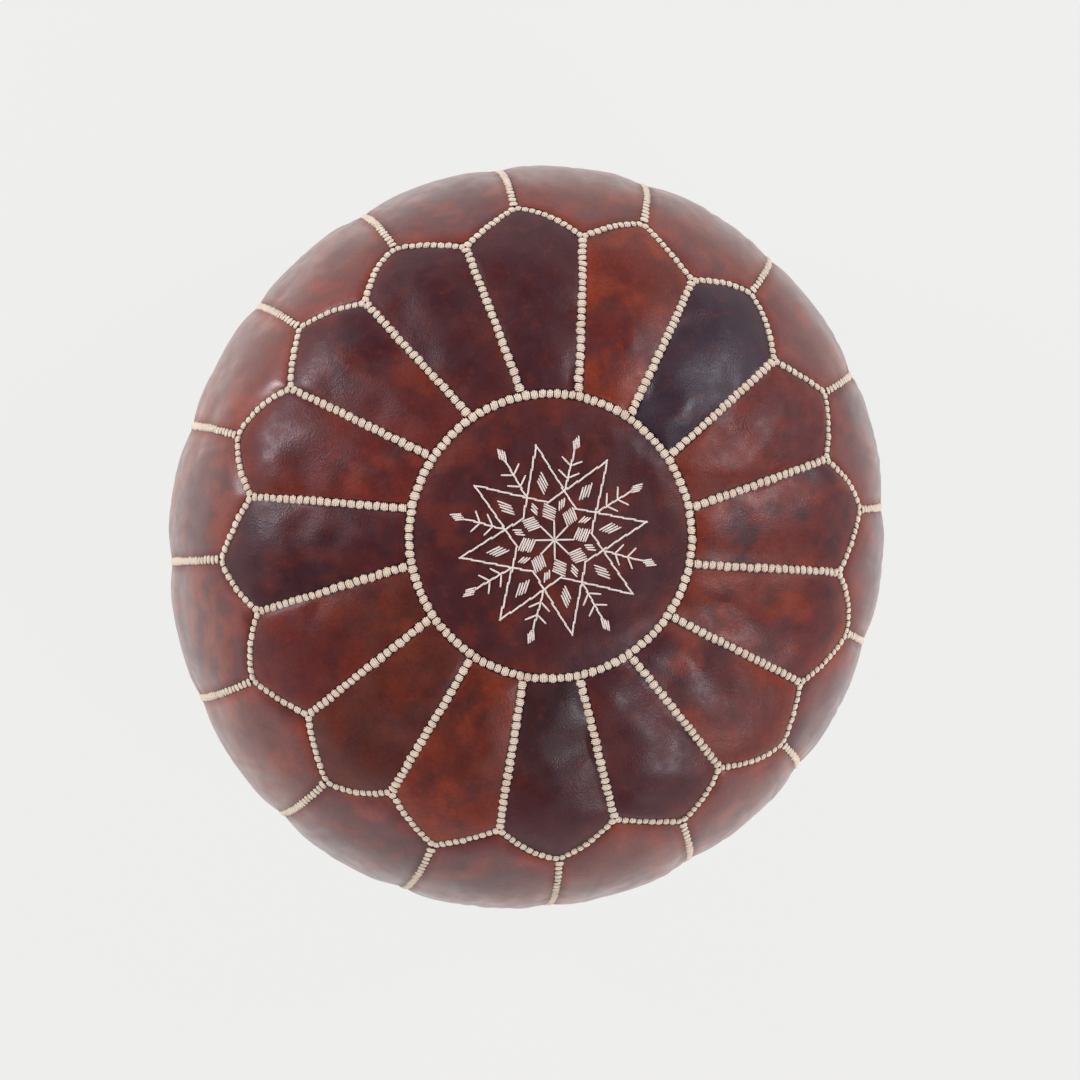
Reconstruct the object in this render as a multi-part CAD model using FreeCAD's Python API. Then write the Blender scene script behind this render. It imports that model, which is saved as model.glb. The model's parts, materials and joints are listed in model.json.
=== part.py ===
"""A round stuffed leather pouf: one STEP file for each of its pieces, in parts/.

The cover is sewn from a medallion, a ring of petals, a ring of side panels and two base halves.
A couched braid covers every seam on the outside, and a zip closes the base over the filling.
The origin is at the middle of the base on the floor, +Z is up, and the first petal points along +X.
All lengths are in millimetres and all angles in degrees.
"""

import FreeCAD, Part

import math
import os

from FreeCAD import Vector

UP = Vector(0, 0, 1)
ALONG_Y = Vector(0, 1, 0)
ORIGIN = Vector(0, 0, 0)

# The filled body: four arcs that meet smoothly, turned about the vertical axis.
HEIGHT = 340.0
GIRTH_RADIUS = 260.0
GIRTH_Z = 160.0
CROWN_ARC = 470.0
SHOULDER_ARC = 110.0
SIDE_ARC = 230.0
FOOT_ARC = 35.0

# The layers, from the outside in.
LEATHER = 1.6
BAG_OUTSIDE = LEATHER + 0.3
BAG_INSIDE = BAG_OUTSIDE + 0.8
FILLING_OUTSIDE = BAG_INSIDE + 0.3

# The seams, seen from above.
PANELS = 16
PITCH = 360.0 / PANELS
MEDALLION_RADIUS = 96.0
VALLEY_RADIUS = 202.0
TIP_RADIUS = 222.0
EDGE_BOW = 3.5
SEAM_LEAN = 4.0
SEAM_GAP = 0.6
BASE_SEAM_Z = 6.6

# The braid that covers the seams, and the piping round the base.
BRAID_WIDTH = 5.8
EDGE_BRAID_WIDTH = 4.6
BRAID_HEIGHT = 2.2
WELT_RADIUS = 2.6
WELT_STANDS_OFF = 0.8
WELT_FACETS = 24
SEAT_FACET = 2.5

# The embroidery on the medallion: an eight-fold star with branched arms.
STAR_FOLD = 8
STAR_PITCH = 360.0 / STAR_FOLD
STAR_TURN = 6.5
STAR_TIP = 64.5
STAR_NOTCH = 25.5
ARM_LEAN = -1.5
LEAF_START = 61.0
LEAF_END = 72.0
BRANCH_NODES = (42.4, 51.2)
BRANCH_REACH = 4.9
BRANCH_SPREAD = 7.2
RAY_LENGTH = 13.6
RAY_LEAN = -9.7
THREAD_WIDTH = 1.2
THREAD_HEIGHT = 0.8

# The zip lies in a shallow channel that it draws up into the base.
CHANNEL_DEPTH = 10.0
CHANNEL_TOP_LENGTH = 316.0
CHANNEL_TOP_WIDTH = 48.0
CHANNEL_SLOPE_LENGTH = 1.2
CHANNEL_SLOPE_WIDTH = 2.2
SLOT_LENGTH = 290.0
SLOT_WIDTH = 14.0
BAG_LIFT = 5.6

TAPE_LENGTH = 304.0
TAPE_WIDTH = 14.0
TAPE = 0.8
TAPE_Z = CHANNEL_DEPTH + LEATHER
ZIP_Z = TAPE_Z + TAPE / 2
COIL_HALF_WIDTH = 3.0
COIL_HEIGHT = 2.4
COIL_SPINE = 1.1
TOOTH_PITCH = 2.0
TOOTH_WIDTH = 0.8
TOOTH_CROSSES = 0.4
SLIDER_CLOSED_X = 130.0
COIL_START_X = -137.0
COIL_END_X = SLIDER_CLOSED_X + 2.0
STITCH = (4.0, 0.8, 0.5)
STITCH_PITCH = 6.5
STITCH_ROW_Y = 11.0

SLIDER_LENGTH = 12.0
SLIDER_NOSE_HALF = 5.2
SLIDER_TAIL_HALF = 4.7
SLIDER_PLATE = 1.4
SLIDER_THROAT = 3.2
FLANGE = 1.0
FLANGE_DEPTH = 0.9
POST = (3.0, 2.4)
PIN_Z = 6.6
PIN_RADIUS = 0.9
CHEEK = 1.2
CHEEK_GAP = 4.2
CHEEK_RADIUS = 1.7

PULL_BORE = 1.0
PULL_EYE = 1.9
PULL_NECK_WIDTH = 3.8
PULL_NECK_LENGTH = 4.6
PULL_WIDTH = 7.2
PULL_LENGTH = 24.0
PULL_THICKNESS = 1.4
PULL_HOLE = 1.6
PULL_HANGS = 13.0


def polar(radius, degrees, z=0.0):
    """The point at that distance and bearing from the vertical axis."""
    angle = math.radians(degrees)
    return Vector(radius * math.cos(angle), radius * math.sin(angle), z)


def in_section(centre, radius, degrees):
    """The point on a circle of the XZ plane."""
    angle = math.radians(degrees)
    return centre + Vector(radius * math.cos(angle), 0, radius * math.sin(angle))


def bearing(start, end):
    """The direction from start to end in the XZ plane."""
    return math.degrees(math.atan2(end.z - start.z, end.x - start.x))


def arc_centres():
    """The centres of the crown, shoulder, side and foot arcs, each tangent to the next."""
    crown = Vector(0, 0, HEIGHT - CROWN_ARC)
    side = Vector(GIRTH_RADIUS - SIDE_ARC, 0, GIRTH_Z)
    to_crown, to_side = CROWN_ARC - SHOULDER_ARC, SIDE_ARC - SHOULDER_ARC
    apart = crown.distanceToPoint(side)
    turn = math.degrees(math.acos((to_crown**2 + apart**2 - to_side**2) / (2 * to_crown * apart)))
    shoulder = in_section(crown, to_crown, bearing(crown, side) - turn)
    foot_reach = math.sqrt((SIDE_ARC - FOOT_ARC) ** 2 - (GIRTH_Z - FOOT_ARC) ** 2)
    foot = Vector(side.x + foot_reach, 0, FOOT_ARC)
    return crown, shoulder, side, foot


def body(outside):
    """The filled body as one solid, with its surface moved outwards by that much."""
    crown, shoulder, side, foot = arc_centres()
    top, base = 90.0, -90.0
    stretches = [
        (crown, CROWN_ARC, top, bearing(crown, shoulder)),
        (shoulder, SHOULDER_ARC, bearing(crown, shoulder), bearing(side, shoulder)),
        (side, SIDE_ARC, bearing(side, shoulder), bearing(side, foot)),
        (foot, FOOT_ARC, bearing(side, foot), base),
    ]
    edges = []
    for centre, radius, start, end in stretches:
        points = [in_section(centre, radius + outside, a) for a in (start, (start + end) / 2, end)]
        edges.append(Part.Arc(*points).toShape())
    summit = Vector(0, 0, HEIGHT + outside)
    corner = Vector(foot.x, 0, -outside)
    middle = Vector(0, 0, -outside)
    edges.append(Part.makeLine(corner, middle))
    edges.append(Part.makeLine(middle, summit))
    return Part.Face(Part.Wire(edges)).revolve(ORIGIN, UP, 360)


def layer(inside, outside):
    """The skin between two offsets of the body's surface."""
    return body(outside).cut(body(inside))


def prism(points, low=-20.0, high=HEIGHT + 20.0):
    """A straight column over a flat outline."""
    lifted = [Vector(p.x, p.y, low) for p in points]
    return Part.Face(Part.makePolygon(lifted + lifted[:1])).extrude(UP * (high - low))


def inset(points, distance):
    """A closed anticlockwise outline, moved inwards by that distance."""
    moved = []
    for before, here, after in zip(points[-1:] + points[:-1], points, points[1:] + points[:1]):
        arrive, leave = (here - before).normalize(), (after - here).normalize()
        left_of_arrival, left_of_leaving = UP.cross(arrive), UP.cross(leave)
        share = distance / (1 + left_of_arrival.dot(left_of_leaving))
        moved.append(here + (left_of_arrival + left_of_leaving) * share)
    return moved


def bar(start, end, width):
    """The outline of a straight strip between two points."""
    across = UP.cross((end - start).normalize()) * (width / 2)
    return [start - across, end - across, end + across, start + across]


def box(low, high):
    """A block between two opposite corners."""
    size = Vector(*high) - Vector(*low)
    return Part.makeBox(size.x, size.y, size.z, Vector(*low))


def turned(shape, degrees):
    """A copy, turned about the vertical axis."""
    copy = shape.copy()
    copy.rotate(ORIGIN, UP, degrees)
    return copy


def ring_of(shape, count=PANELS):
    """The shape and its copies round the vertical axis, as separate solids."""
    return Part.makeCompound([turned(shape, i * 360.0 / count) for i in range(count)])


# ---- the seam lines, seen from above ----


def seam_foot(panel, radius=MEDALLION_RADIUS):
    """Where the seam after that petal meets the medallion, or its line further in."""
    outer = polar(VALLEY_RADIUS, (panel + 0.5) * PITCH)
    inner = polar(MEDALLION_RADIUS, (panel + 0.5) * PITCH - SEAM_LEAN)
    along = (outer - inner).normalize()
    return inner - along * (MEDALLION_RADIUS - radius)


def valley(panel):
    """Where the seam after that petal meets the side panels."""
    return polar(VALLEY_RADIUS, (panel + 0.5) * PITCH)


def tip(panel):
    """The point of that petal."""
    return polar(TIP_RADIUS, panel * PITCH)


def shoulder(panel, side):
    """The middle of that petal's outer edge on one side of its point, where the edge bows out."""
    turn = (panel + side * 0.25) * PITCH
    return (tip(panel) + polar(VALLEY_RADIUS, (panel + side * 0.5) * PITCH)) / 2 + polar(EDGE_BOW, turn)


def petal_edge():
    """The closed zigzag outline of all the petals."""
    corners = [(tip(i), shoulder(i, 1), valley(i), shoulder(i + 1, -1)) for i in range(PANELS)]
    return [point for four in corners for point in four]


# ---- the leather cover ----


def medallion(skin):
    """The round panel in the middle of the top."""
    return skin.common(Part.makeCylinder(MEDALLION_RADIUS - SEAM_GAP / 2, HEIGHT, Vector(0, 0, GIRTH_Z)))


def petal(skin):
    """The petal that points along +X."""
    well_inside = MEDALLION_RADIUS / 2
    before, after = seam_foot(-1, well_inside), seam_foot(0, well_inside)
    outline = [before, valley(-1), shoulder(0, -1), tip(0), shoulder(0, 1), valley(0), after]
    column = prism(inset(outline, SEAM_GAP / 2), GIRTH_Z)
    core = Part.makeCylinder(MEDALLION_RADIUS + SEAM_GAP / 2, HEIGHT, Vector(0, 0, GIRTH_Z))
    return skin.common(column).cut(core)


def side_panel(skin):
    """The side panel between the first two petal points, from the zigzag down to the base seam."""
    far = GIRTH_RADIUS * 1.2
    outline = inset([ORIGIN, polar(far, 0), polar(far, PITCH)], SEAM_GAP / 2)
    wedge = prism(outline, BASE_SEAM_Z + SEAM_GAP / 2)
    above = prism(inset(petal_edge(), -SEAM_GAP / 2), GIRTH_Z)
    return skin.common(wedge).cut(above)


def stadium(length, width, z):
    """A level outline with straight sides and round ends."""
    half, r = length / 2 - width / 2, width / 2
    near, far = Vector(-half, -r, z), Vector(half, -r, z)
    far_back, near_back = Vector(half, r, z), Vector(-half, r, z)
    return Part.Wire([
        Part.makeLine(near, far),
        Part.Arc(far, Vector(half + r, 0, z), far_back).toShape(),
        Part.makeLine(far_back, near_back),
        Part.Arc(near_back, Vector(-half - r, 0, z), near).toShape(),
    ])


def channel(lift, low):
    """The channel's space, raised by lift, from the level low up to its roof."""
    roof = CHANNEL_DEPTH + lift
    drop = roof - low
    length = CHANNEL_TOP_LENGTH + 2 * CHANNEL_SLOPE_LENGTH * drop
    width = CHANNEL_TOP_WIDTH + 2 * CHANNEL_SLOPE_WIDTH * drop
    rims = [stadium(length, width, low), stadium(CHANNEL_TOP_LENGTH, CHANNEL_TOP_WIDTH, roof)]
    return Part.makeLoft(rims, True, True)


def base_halves(skin):
    """The front and rear halves of the base, with the zip's slot between them."""
    reach = GIRTH_RADIUS
    below_seam = box((-reach, -reach, -1), (reach, reach, BASE_SEAM_Z - SEAM_GAP / 2))
    disc = skin.common(below_seam).fuse(channel(LEATHER, 0)).cut(channel(0, -CHANNEL_DEPTH))
    slot = box((-SLOT_LENGTH / 2, -SLOT_WIDTH / 2, 0), (SLOT_LENGTH / 2, SLOT_WIDTH / 2, HEIGHT))
    front = box((-reach, -reach, -1), (reach, -SEAM_GAP / 2, HEIGHT))
    rear = box((-reach, SEAM_GAP / 2, -1), (reach, reach, HEIGHT))
    open_disc = disc.cut(slot)
    return open_disc.common(front), open_disc.common(rear)


# ---- the inside ----


def filling():
    """The packed wadding."""
    return body(-FILLING_OUTSIDE).cut(channel(BAG_LIFT + FILLING_OUTSIDE - BAG_OUTSIDE, -1))


def inner_bag():
    """The muslin bag round the wadding."""
    outside = body(-BAG_OUTSIDE).cut(channel(BAG_LIFT, -1))
    inside = body(-BAG_INSIDE).cut(channel(BAG_LIFT + BAG_INSIDE - BAG_OUTSIDE, -1))
    return outside.cut(inside)


# ---- the braids and the piping ----


def edge_band(high=HEIGHT + 20.0):
    """The column under the zigzag braid."""
    outer = prism(inset(petal_edge(), -EDGE_BRAID_WIDTH / 2), GIRTH_Z, high)
    return outer.cut(prism(inset(petal_edge(), EDGE_BRAID_WIDTH / 2), GIRTH_Z, high))


def medallion_braid(raised):
    """The braid round the medallion."""
    outer = Part.makeCylinder(MEDALLION_RADIUS + BRAID_WIDTH / 2, HEIGHT, Vector(0, 0, GIRTH_Z))
    inner = Part.makeCylinder(MEDALLION_RADIUS - BRAID_WIDTH / 2, HEIGHT, Vector(0, 0, GIRTH_Z))
    return raised.common(outer.cut(inner))


def petal_seam_braid(raised):
    """The braid on the seam after the first petal, between the other two braids."""
    strip = prism(bar(seam_foot(0), valley(0), BRAID_WIDTH), GIRTH_Z)
    hub = Part.makeCylinder(MEDALLION_RADIUS + BRAID_WIDTH / 2, HEIGHT, Vector(0, 0, GIRTH_Z))
    return raised.common(strip).cut(hub).cut(edge_band())


def side_seam_braid(raised):
    """The braid below the first petal's point, down to the piping."""
    low = BASE_SEAM_Z + 2 * WELT_RADIUS
    strip = box((TIP_RADIUS / 2, -BRAID_WIDTH / 2, low), (GIRTH_RADIUS * 1.2, BRAID_WIDTH / 2, HEIGHT))
    above = prism(inset(petal_edge(), -EDGE_BRAID_WIDTH / 2), GIRTH_Z)
    return raised.common(strip).cut(above)


def base_welt():
    """The piping round the seam between the side panels and the base, a facetted cord that sits on both."""
    foot = arc_centres()[3]
    seam_turn = math.degrees(math.acos((FOOT_ARC - BASE_SEAM_Z) / FOOT_ARC)) - 90.0
    centre = in_section(foot, FOOT_ARC + WELT_STANDS_OFF, seam_turn)
    turns = [i * 360.0 / WELT_FACETS for i in range(WELT_FACETS + 1)]
    cord = Part.Face(Part.makePolygon([in_section(centre, WELT_RADIUS, turn) for turn in turns]))
    clear_of_foot = FOOT_ARC / math.cos(math.radians(SEAT_FACET / 2))
    edge = [in_section(foot, clear_of_foot, seam_turn + step * SEAT_FACET) for step in range(-4, 5)]
    leather = Part.Face(Part.makePolygon([foot] + edge + [foot]))
    return cord.cut(leather).Faces[0].revolve(ORIGIN, UP, 360)


def base_end_seams():
    """The two short stitched seams that join the base halves beyond the zip."""
    inner, outer = SLOT_LENGTH / 2 + 1.0, CHANNEL_TOP_LENGTH / 2 - 1.0
    width, height = THREAD_WIDTH * 2, THREAD_HEIGHT
    roof = CHANNEL_DEPTH
    seam = box((inner, -width / 2, roof - height), (outer, width / 2, roof))
    return ring_of(seam, 2)


# ---- the embroidery ----


def diamond(centre_radius, degrees, half_length, half_width):
    """A diamond whose long diagonal points away from the middle."""
    centre = polar(centre_radius, degrees)
    out, across = polar(half_length, degrees), polar(half_width, degrees + 90)
    return [centre - out, centre - across, centre + out, centre + across]


def star_lines():
    """The outlines of the lines in one sector that touch each other: a spike and an arm."""
    half = STAR_PITCH / 2
    crossing_at = math.radians(half)
    spike, notch = polar(STAR_TIP, 0), polar(STAR_NOTCH, STAR_PITCH)
    rise, run = notch.y, STAR_TIP - notch.x
    share = STAR_TIP * math.tan(crossing_at) / (rise + run * math.tan(crossing_at))
    crossing = spike + (notch - spike) * share
    arm_end = half + ARM_LEAN
    out, across = polar(1, arm_end), polar(1, arm_end + 90)
    outlines = [bar(spike, notch, THREAD_WIDTH), bar(spike, polar(STAR_NOTCH, -STAR_PITCH), THREAD_WIDTH)]
    outlines.append(bar(crossing, polar(LEAF_START + 1.0, arm_end), THREAD_WIDTH))
    for node_radius in BRANCH_NODES:
        lean = ARM_LEAN * (node_radius - crossing.Length) / (LEAF_START - crossing.Length)
        node = polar(node_radius, half + lean)
        for side in (-1, 1):
            reach = node + out * BRANCH_REACH + across * (side * BRANCH_SPREAD)
            outlines.append(bar(node, reach, THREAD_WIDTH))
    outlines.append(diamond((LEAF_START + LEAF_END) / 2, arm_end, (LEAF_END - LEAF_START) / 2, 2.6))
    return outlines


def satin_shapes():
    """The outlines of one sector's filled shapes, which stand alone."""
    half = STAR_PITCH / 2
    block = bar(polar(14.4, 0), polar(23.4, 0), 9.6)
    return [diamond(38.8, 0.9, 7.4, 3.6), diamond(24.6, half, 4.5, 2.0), block]


def embroidery():
    """The stitched star, raised on the medallion."""
    crown = arc_centres()[0]
    skin = Part.makeSphere(CROWN_ARC + THREAD_HEIGHT, crown).cut(Part.makeSphere(CROWN_ARC, crown))
    over = (HEIGHT / 2, HEIGHT + 20)
    sectors = [i * STAR_PITCH + STAR_TURN for i in range(STAR_FOLD)]
    ray = bar(ORIGIN, polar(RAY_LENGTH, RAY_LEAN), THREAD_WIDTH)
    lines = [turned(prism(o, *over), a) for a in sectors for o in star_lines()]
    rays = [turned(prism(ray, *over), a) for a in sectors]
    shapes = [turned(prism(o, *over), a) for a in sectors for o in satin_shapes()]
    star = lines[0].multiFuse(lines[1:])
    middle = rays[0].multiFuse(rays[1:])
    return Part.makeCompound([solid.common(skin) for solid in [star, middle] + shapes])


# ---- the zip ----


def zip_tape(side):
    """One half of the zip's tape, sewn to the inside of the base."""
    edges = sorted((side * COIL_HALF_WIDTH, side * (COIL_HALF_WIDTH + TAPE_WIDTH)))
    half = TAPE_LENGTH / 2
    return box((-half, edges[0], TAPE_Z), (half, edges[1], TAPE_Z + TAPE))


def zip_coil(side):
    """One row of the zip's teeth. The rows cross the middle line between each other's teeth."""
    first = COIL_START_X + (0.0 if side < 0 else TOOTH_PITCH / 2)
    count = int((COIL_END_X - TOOTH_WIDTH - first) / TOOTH_PITCH)
    back, root, end = COIL_HALF_WIDTH, COIL_HALF_WIDTH - COIL_SPINE, -TOOTH_CROSSES
    outline = [(COIL_START_X, back), (COIL_START_X, root)]
    for i in range(count):
        x = first + i * TOOTH_PITCH + TOOTH_WIDTH / 2
        outline += [(x, root), (x, end), (x + TOOTH_WIDTH, end), (x + TOOTH_WIDTH, root)]
    outline += [(COIL_END_X, root), (COIL_END_X, back)]
    points = [Vector(x, side * y, 0) for x, y in outline]
    return prism(points, ZIP_Z - COIL_HEIGHT / 2, ZIP_Z + COIL_HEIGHT / 2)


def zip_stops_closed():
    """The two metal stops, one at the end of each row."""
    start = SLIDER_CLOSED_X + SLIDER_LENGTH / 2 + 0.6
    stop = box((start, 0.5, ZIP_Z - 1.1), (start + 2.6, COIL_HALF_WIDTH, ZIP_Z + 1.1))
    other = stop.mirror(ORIGIN, ALONG_Y)
    return Part.makeCompound([stop, other])


def zip_stop_open():
    """The staple that ties both rows at the far end."""
    end = COIL_START_X
    half = COIL_HALF_WIDTH
    return box((end - 2.8, -half, ZIP_Z - 1.4), (end, half, ZIP_Z + 1.4))


def zip_stitches():
    """The two rows of stitches that hold the base to the tapes."""
    length, width, height = STITCH
    count = int(SLOT_LENGTH / STITCH_PITCH)
    start = -(count - 1) * STITCH_PITCH / 2
    stitches = []
    for side in (-1, 1):
        for i in range(count):
            x, y = start + i * STITCH_PITCH - length / 2, side * STITCH_ROW_Y - width / 2
            stitches.append(box((x, y, CHANNEL_DEPTH - height), (x + length, y + width, CHANNEL_DEPTH)))
    return Part.makeCompound(stitches)


def zip_slider():
    """The slider: two plates, their flanges, the post that parts the rows, and the pull's pin."""
    x, half = SLIDER_CLOSED_X, SLIDER_LENGTH / 2
    tail, nose = SLIDER_TAIL_HALF, SLIDER_NOSE_HALF
    outline = [
        Vector(x - half, -tail, 0),
        Vector(x + half * 0.4, -nose, 0),
        Vector(x + half, -nose * 0.75, 0),
        Vector(x + half, nose * 0.75, 0),
        Vector(x + half * 0.4, nose, 0),
        Vector(x - half, tail, 0),
    ]
    low, high = ZIP_Z - SLIDER_THROAT / 2, ZIP_Z + SLIDER_THROAT / 2
    rim = prism(outline, low - SLIDER_PLATE, high + SLIDER_PLATE)
    hollow = prism(inset(outline, FLANGE), low, high)
    mouths = box((x - half - 1, -tail + FLANGE, low), (x + half + 1, tail - FLANGE, high))
    gap = SLIDER_THROAT / 2 - FLANGE_DEPTH
    sides = box((x - half - 1, -nose - 1, ZIP_Z - gap), (x + half + 1, nose + 1, ZIP_Z + gap))
    post_length, post_width = POST
    post = box((x + 2.4, -post_width / 2, low - 0.1), (x + 2.4 + post_length, post_width / 2, high + 0.1))
    shell = rim.cut(hollow).cut(mouths).cut(sides).fuse(post)
    for side in (-1, 1):
        inner = side * CHEEK_GAP / 2
        cheek = Part.makeCylinder(CHEEK_RADIUS, CHEEK, Vector(x, inner, PIN_Z), ALONG_Y * side)
        outer = inner + side * CHEEK
        web = box(
            (x - CHEEK_RADIUS, min(inner, outer), PIN_Z),
            (x + CHEEK_RADIUS, max(inner, outer), low - SLIDER_PLATE / 2),
        )
        shell = shell.fuse(cheek).fuse(web)
    pin_length = CHEEK_GAP + CHEEK
    pin = Part.makeCylinder(PIN_RADIUS, pin_length, Vector(x, -pin_length / 2, PIN_Z), ALONG_Y)
    return shell.fuse(pin).removeSplitter()


def zip_pull():
    """The pull: an eye round the slider's pin, a neck and a rounded tab, hanging towards the floor."""
    x, half_neck, half_tab = SLIDER_CLOSED_X, PULL_NECK_WIDTH / 2, PULL_WIDTH / 2
    level = PULL_THICKNESS / 2
    eye = Part.makeCylinder(PULL_EYE, PULL_NECK_WIDTH, Vector(x, -half_neck, PIN_Z), ALONG_Y)
    neck = box(
        (x - PULL_NECK_LENGTH - 1, -half_neck, PIN_Z - level),
        (x, half_neck, PIN_Z + level),
    )
    end = x - PULL_LENGTH + half_tab
    tab = box((end, -half_tab, PIN_Z - level), (x - PULL_NECK_LENGTH, half_tab, PIN_Z + level))
    rounding = Part.makeCylinder(half_tab, PULL_THICKNESS, Vector(end, 0, PIN_Z - level))
    hole = Part.makeCylinder(PULL_HOLE, PULL_THICKNESS * 2, Vector(end, 0, PIN_Z - 2 * level))
    bore = Part.makeCylinder(PULL_BORE, PULL_WIDTH, Vector(x, -half_tab, PIN_Z), ALONG_Y)
    pull = eye.fuse(neck).fuse(tab).fuse(rounding).cut(hole).cut(bore).removeSplitter()
    pull.rotate(Vector(x, 0, PIN_Z), ALONG_Y, -PULL_HANGS)
    return pull


def pieces():
    """Every piece of the pouf, by its node's name."""
    skin = layer(-LEATHER, 0)
    raised = layer(0, BRAID_HEIGHT)
    base_front, base_rear = base_halves(skin)
    made = {
        "filling": filling(),
        "inner_bag": inner_bag(),
        "medallion": medallion(skin),
        "base_half_front": base_front,
        "base_half_rear": base_rear,
        "medallion_braid": medallion_braid(raised),
        "petal_seam_braids": ring_of(petal_seam_braid(raised)),
        "petal_edge_braid": raised.common(edge_band()),
        "side_seam_braids": ring_of(side_seam_braid(raised)),
        "base_welt": base_welt(),
        "base_end_seams": base_end_seams(),
        "medallion_embroidery": embroidery(),
        "zip_tape_front": zip_tape(-1),
        "zip_tape_rear": zip_tape(1),
        "zip_coil_front": zip_coil(-1),
        "zip_coil_rear": zip_coil(1),
        "zip_stops_closed": zip_stops_closed(),
        "zip_stop_open": zip_stop_open(),
        "zip_stitches": zip_stitches(),
        "zip_slider": zip_slider(),
        "zip_pull": zip_pull(),
    }
    first_petal, first_side = petal(skin), side_panel(skin)
    for i in range(PANELS):
        made[f"petal_{i + 1:02d}"] = turned(first_petal, i * PITCH)
        made[f"side_panel_{i + 1:02d}"] = turned(first_side, i * PITCH)
    return made


def main():
    """Writes parts/NODE.step for every piece and prints its volume."""
    os.makedirs("parts", exist_ok=True)
    for name, shape in pieces().items():
        shape.exportStep(f"parts/{name}.step")
        volume = shape.Volume / 1000
        print(f"{name}: {len(shape.Solids)} solid(s), {volume:.2f} cm3, valid {shape.isValid()}")


main()
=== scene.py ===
"""The looks of a stuffed leather pouf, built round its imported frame. Metres, +Z up.

The leather cover is one cloth, sewn down along its seams and blown up by the filling, then cut into panels.
The braids and the embroidery are single threads laid on it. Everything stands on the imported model's frame.
"""

import json
import math
import random

import bpy
import numpy as np
from mathutils import Matrix, Vector


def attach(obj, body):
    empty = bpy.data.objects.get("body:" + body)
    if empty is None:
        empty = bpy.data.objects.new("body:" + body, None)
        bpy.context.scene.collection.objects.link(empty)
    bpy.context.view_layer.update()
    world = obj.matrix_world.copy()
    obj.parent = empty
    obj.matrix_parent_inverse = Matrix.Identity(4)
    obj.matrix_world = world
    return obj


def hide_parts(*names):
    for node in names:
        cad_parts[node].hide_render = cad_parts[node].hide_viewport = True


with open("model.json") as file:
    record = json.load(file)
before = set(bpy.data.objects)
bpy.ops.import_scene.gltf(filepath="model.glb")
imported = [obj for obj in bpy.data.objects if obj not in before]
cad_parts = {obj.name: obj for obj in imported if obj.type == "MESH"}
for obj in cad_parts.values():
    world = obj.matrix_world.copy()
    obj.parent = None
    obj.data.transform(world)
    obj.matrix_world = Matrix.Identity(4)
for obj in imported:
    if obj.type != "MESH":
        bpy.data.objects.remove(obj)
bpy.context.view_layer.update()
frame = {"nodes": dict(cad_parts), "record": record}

# The body, as the frame has it.
HEIGHT = 0.340
GIRTH_RADIUS = 0.260
GIRTH_Z = 0.160
CROWN_ARC = 0.470
SHOULDER_ARC = 0.110
SIDE_ARC = 0.230
FOOT_ARC = 0.035
PANELS = 16
PITCH = math.tau / PANELS
MEDALLION_RADIUS = 0.096
VALLEY_RADIUS = 0.202
TIP_RADIUS = 0.222
EDGE_BOW = 0.0035
SEAM_LEAN = math.radians(4.0)
BASE_SEAM_Z = 0.0066
LEATHER = 0.0016

# The base: the shallow channel that the zip lies in, the zip's slot and the start of the foot. The channel's
# outline is a straight slot that grows wider and shorter towards the floor.
CHANNEL_TOP = 0.010
CHANNEL_HALF = 0.134
CHANNEL_RADIUS = 0.024
CHANNEL_SPREAD = 2.2
CHANNEL_SHORTER = 1.0
SLOT_HALF_LENGTH = 0.145
SLOT_HALF_WIDTH = 0.007
HALVES_APART = 0.0003
END_COLUMNS = 16
SLOT_COLUMNS = 60
SLOT_ROWS = 3
FIELD_ROWS = 60
GATHERS = 96

# How far the hand-made body strays from a true round one. A stray has an order, a reach and a peak's bearing.
OUT_OF_ROUND = 0.0265
LONG_WAY = math.radians(64.0)
LEANS = 0.0024
LEANS_TO = math.radians(-20.0)
VALLEY_TURN = math.radians(-0.6)
TURNED = ((1, 0.002, 60), (2, 0.0015, -50), (3, 0.001, -80))
FURTHER = ((0, 0.001, 0), (1, 0.001, 45), (2, 0.0005, 110), (3, 0.002, -70), (4, 0.002, -60))
DOWNHILL = 1.25

# The grid that the cover is made on.
HALF_COLUMNS = 10
COLUMNS = PANELS * 2 * HALF_COLUMNS
PETAL_ROWS = 26
SIDE_ROWS = 66

# How far the leather swells off the body before the simulation, how much less that is on the side, and the
# most that it may swell in the simulation on the top and on the side.
FIRST_SWELL = 0.0016
SIDE_LESS = 0.0006
TOP_SWELL = 0.0048
SIDE_SWELL = 0.0030

# The simulation, with how much the cloth grows so that it is slack, and what comes after it.
CLOTH_FRAMES = 24
CLOTH_GROWTH = 0.009
CALMING_ROUNDS = 4
NOISE_WAVES = 14

# The camera and the light.
VIEW_TURN = math.radians(4.15)
CAMERA_HEIGHT = 2.70
CAMERA_SHIFT = 0.272
LENS = 117.7
SENSOR = 36.0
AIM = (0.0097, -0.0026, 0.178)
LIGHT_COLOUR = (0.99, 0.97, 1.05)
ROOM_TONE = (1.04, 0.98, 1.08)
ROOM_GREYS = ((0.0, 1.20), (0.25, 0.95), (0.50, 0.30), (0.72, 0.07), (1.0, 0.05))
FLOOR_REACH = 12.0
FLOOR_Z = -0.0004

# The beads' lengths on the ring, at each end of a petal's seam, on the zigzag and down the side.
RING_BEAD = 0.0055
INNER_BEAD = 0.0058
OUTER_BEAD = 0.0045
EDGE_BEAD = 0.0050
SIDE_BEAD = 0.0048
BRAID_WIDTH = 0.0062
EDGE_BRAID_WIDTH = 0.0051
BRAID_HEIGHT = 0.0016
BEAD_GAP = 0.0008
BEAD_STRANDS = 4


def smooth(low, high, x):
    """0 below low, 1 above high, and a smooth step between."""
    t = np.clip((np.asarray(x, float) - low) / (high - low), 0, 1)
    return t * t * (3 - 2 * t)


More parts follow.
